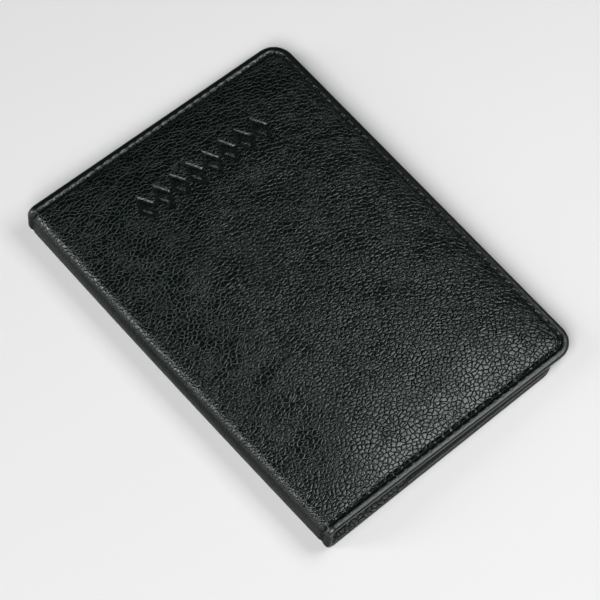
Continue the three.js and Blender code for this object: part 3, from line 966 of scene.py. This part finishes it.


# Base colours from the creases to the pebble tops: the darker creases are painted shade.
OUTER_CREASE_SHADED_COLOURS = ((0.0007, 0.0018, 0.0014), (0.0011, 0.0027, 0.0022), (0.0018, 0.0040, 0.0033))
INNER_CREASE_SHADED_COLOURS = ((0.003, 0.0035, 0.0034), (0.008, 0.009, 0.0087), (0.015, 0.0162, 0.0157))
# The lining's own dark grey is raised towards its pebble tops, a painted highlight that stands in
# for lit lumps; its dark creases are painted shade.
LINING_SHADE_AND_HIGHLIGHT_COLOURS = ((0.003, 0.0033, 0.0032), (0.018, 0.0195, 0.019), (0.050, 0.053, 0.052))

outer_leather = pebble_leather("pebble_leather", cell=1.4, relief=0.118, colours=OUTER_CREASE_SHADED_COLOURS,
                               roughness=0.19, specular=0.82)
inner_leather = pebble_leather("inner_leather", cell=1.2, relief=0.14, colours=INNER_CREASE_SHADED_COLOURS,
                               roughness=0.42, pressed=0.2)
lining_cloth = pebble_leather("grained_lining", cell=1.6, relief=0.38, colours=LINING_SHADE_AND_HIGHLIGHT_COLOURS,
                              roughness=0.34, specular=0.9, pressed=0.0)
raw_edge = raw_edge_material()
thread = thread_material()
board = board_material()

# ---------------- seams

# How much nearer to the holder's outer face each thread lies than the surface it is sewn on.
THREAD_SHIFT = {"edge": 0.02, "pocket": 0.38, "sleeve_hem": 0.16, "card_hem": 0.12, "card": 0.2}
SLEEVE_HEM_END = 1.5            # the sleeve's hem seam stops this far from the stitched land
CARD_HEM_END = 3.0              # a card pocket's stops this far from its sides
CARD_SEAM_END = 0.6             # and its edge seam this far from its mouth


def level(depth):
    """A surface at one depth, for stitches to lie on."""
    return lambda u, v: depth + 0 * u


def outside_seam(side):
    return (*edge_line(side), level(GROOVE_DEPTH - THREAD_SHIFT["edge"]), -1)


def inside_seam(side):
    """The edge seam on the inside, which climbs from the lining onto the pocket."""
    mouth = reach_of(side, SLEEVE_MOUTH[side])
    lining, pocket = LINING_DEPTH[1], SLEEVE_DEPTH[1] - THREAD_SHIFT["pocket"]

    def surface(u, v):
        return lining + (pocket - lining) * smooth(mouth - 0.7, mouth + 0.1, u)

    return (*edge_line(side), surface, 1)


def sleeve_hem(side):
    hem = reach_of(side, SLEEVE_MOUTH[side] + HEM_INSET)
    end = HALF_HEIGHT - SLEEVE_LAND - SLEEVE_HEM_END
    depth = SLEEVE_DEPTH[1] - THREAD_SHIFT["sleeve_hem"]
    return (*open_line((hem, -end), (hem, end)), level(depth), 1)


def card_hem(name):
    v = CARD_MOUTH[name] - HEM_INSET
    depth = CARD_DEPTHS[name][1] - THREAD_SHIFT["card_hem"]
    ends = (CARD_NEAR + CARD_HEM_END, v), (CARD_FAR - CARD_HEM_END, v)
    return (*open_line(*ends), level(depth), 1)


def card_seam():
    near, far = CARD_NEAR + CARD_SEAM_INSET, CARD_FAR - CARD_SEAM_INSET
    low_v, high_v = CARD_BOTTOM + CARD_SEAM_INSET, CARD_MOUTH["lower"] - CARD_SEAM_END
    corners = (near, high_v), (near, low_v), (far, low_v), (far, high_v)
    return (*open_line(*corners), level(CARD_DEPTHS["lower"][1] - THREAD_SHIFT["card"]), 1)


# ---------------- build


def finish_piece(piece, side, slot, nodes, *materials, bends=True):
    """Gives a piece its materials, and hides the nodes it stands for.

    A piece that bends keeps its place, baked into its mesh. Any other rides on its cover.
    """
    for material in materials:
        piece.data.materials.append(material)
    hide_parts(*nodes)
    if not bends:
        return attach(piece, BODY[side])
    ends = place(side, np.array([WALL_HALF, COVER_START[side]]), 0.0, 0.0)
    if side == FRONT:
        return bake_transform(piece)
    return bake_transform(piece)


def sew(name, side, seam, nodes, bends=False):
    """Makes a seam's stitches."""
    finish_piece(stitches(name, side, seam), side, "thread", nodes, thread, bends=bends)


def build_cover(side):
    """Everything that both covers have, with each cover's half of the spine."""
    body = BODY[side]
    short = body.split("_")[0]
    finish_piece(build_outer_leather(side), side, "outer_leather",
                 [f"{body}_leather", "spine_leather"], outer_leather)
    finish_piece(build_lining(side), side, "lining", [f"{body}_lining", "spine_lining"],
                 lining_cloth, raw_edge)
    finish_piece(build_sleeve(side), side, "inner_leather", [f"{short}_passport_sleeve"],
                 inner_leather, raw_edge, bends=False)
    sew(f"{short}_edge_stitches", side, outside_seam(side),
        [f"{short}_edge_thread", "spine_head_thread", "spine_tail_thread"], bends=True)
    bobbin = [f"{short}_bobbin_thread", "spine_head_bobbin_thread", "spine_tail_bobbin_thread"]
    sew(f"{short}_inside_stitches", side, inside_seam(side), bobbin, bends=True)
    sew(f"{short}_pocket_hem_stitches", side, sleeve_hem(side), [f"{short}_sleeve_hem_thread"])


def build_cards():
    """The card pockets, which only the front cover has."""
    for name in CARD_DEPTHS:
        finish_piece(build_card_pocket(name), FRONT, "inner_leather", [f"{name}_card_pocket"],
                     inner_leather, raw_edge, bends=False)
        sew(f"{name}_card_hem_stitches", FRONT, card_hem(name), [f"{name}_card_hem_thread"])
    sew("card_seam_stitches", FRONT, card_seam(), ["card_seam_thread"])


def paint_boards():
    """Gives the boards, which are carried over as they are, their material."""
    for name, node in frame["nodes"].items():
        if name.endswith("board"):
            node.data.materials.clear()
            node.data.materials.append(board)


for cover_side in (FRONT, REAR):
    build_cover(cover_side)
build_cards()
paint_boards()

# ---------------- floor, light and camera

FLOOR_SIZE = 3.0
FLOOR_DROP = 0.00005            # keeps the floor clear of the rear cover's flat face
WORLD_GLOW = ((0.0, 0.75), (0.05, 0.75), (0.065, 0.003))

CAMERA_AZIMUTH = math.radians(-46.74)
CAMERA_ELEVATION = math.radians(63.29)
CAMERA_ROLL = math.radians(6.24)
CAMERA_DISTANCE = 0.952
CAMERA_TARGET = Vector((-0.00426, -0.00419, 0.005))
SENSOR_WIDTH = 36.0
FOCAL_WIDTHS = 5.2146           # focal length in image widths


def floor():
    bpy.ops.mesh.primitive_plane_add(size=FLOOR_SIZE, location=(0, 0, -FLOOR_DROP))
    plane = bpy.context.object
    plane.name = "floor"
    m = Nodes(bpy.data.materials.new("pale_floor"))
    mottle = m.add("ShaderNodeTexNoise", {"Scale": 3.0, "Detail": 2.0}).outputs["Fac"]
    m.set(Base_Color=m.ramp(mottle, (0.0, 0.80), (1.0, 0.82)), Roughness=0.7)
    plane.data.materials.append(m.owner)


def area_light(name, location, target, size, power):
    """A white rectangular light that faces its target. The power is in watts."""
    data = bpy.data.lights.new(name, "AREA")
    data.shape = "RECTANGLE"
    data.size, data.size_y = size
    data.energy = power
    light = bpy.data.objects.new(name, data)
    light.location = location
    light.rotation_mode = "QUATERNION"
    light.rotation_quaternion = (Vector(target) - Vector(location)).to_track_quat("-Z", "Y")
    bpy.context.scene.collection.objects.link(light)


def world_light():
    """A pale surround, bright up to just above the horizon and dark overhead.

    WORLD_GLOW gives its brightness by how steeply one looks up, from 0 to 1.
    """
    m = Nodes(bpy.data.worlds.new("studio"), "Background")
    direction = m.add("ShaderNodeTexCoord").outputs["Generated"]
    upwards = m.add("ShaderNodeSeparateXYZ", {0: direction}).outputs["Z"]
    m.set(Color=m.ramp(upwards, *WORLD_GLOW))
    bpy.context.scene.world = m.owner


def camera():
    """Looks at its target from an azimuth and elevation, rolled about its own axis."""
    data = bpy.data.cameras.new("camera")
    data.sensor_width = SENSOR_WIDTH
    data.lens = FOCAL_WIDTHS * SENSOR_WIDTH
    data.clip_start, data.clip_end = 0.01, 20
    cam = bpy.data.objects.new("camera", data)
    a, e = CAMERA_AZIMUTH, CAMERA_ELEVATION
    back = Vector((math.sin(a) * math.cos(e), -math.cos(a) * math.cos(e), math.sin(e)))
    right = Vector((math.cos(a), math.sin(a), 0))
    up = back.cross(right)
    c, s = math.cos(CAMERA_ROLL), math.sin(CAMERA_ROLL)
    rolled_right, rolled_up = right * c + up * s, up * c - right * s
    cam.location = CAMERA_TARGET + back * CAMERA_DISTANCE
    cam.rotation_mode = "QUATERNION"
    cam.rotation_quaternion = Matrix((rolled_right, rolled_up, back)).transposed().to_quaternion()
    bpy.context.scene.collection.objects.link(cam)
    bpy.context.scene.camera = cam


floor()
world_light()
area_light("softbox", (0.26, -0.16, 0.50), (0.0, -0.16, 0.0), (0.40, 0.26), 1.42)
area_light("window", (-0.891, -0.514, 1.226), (0, 0, 0), (1.0, 1.0), 22.2)
area_light("back_fill", (-1.256, 0.725, 0.676), (0, 0, 0), (0.45, 0.85), 8.0)
camera()
bpy.context.scene.view_settings.view_transform = "Standard"
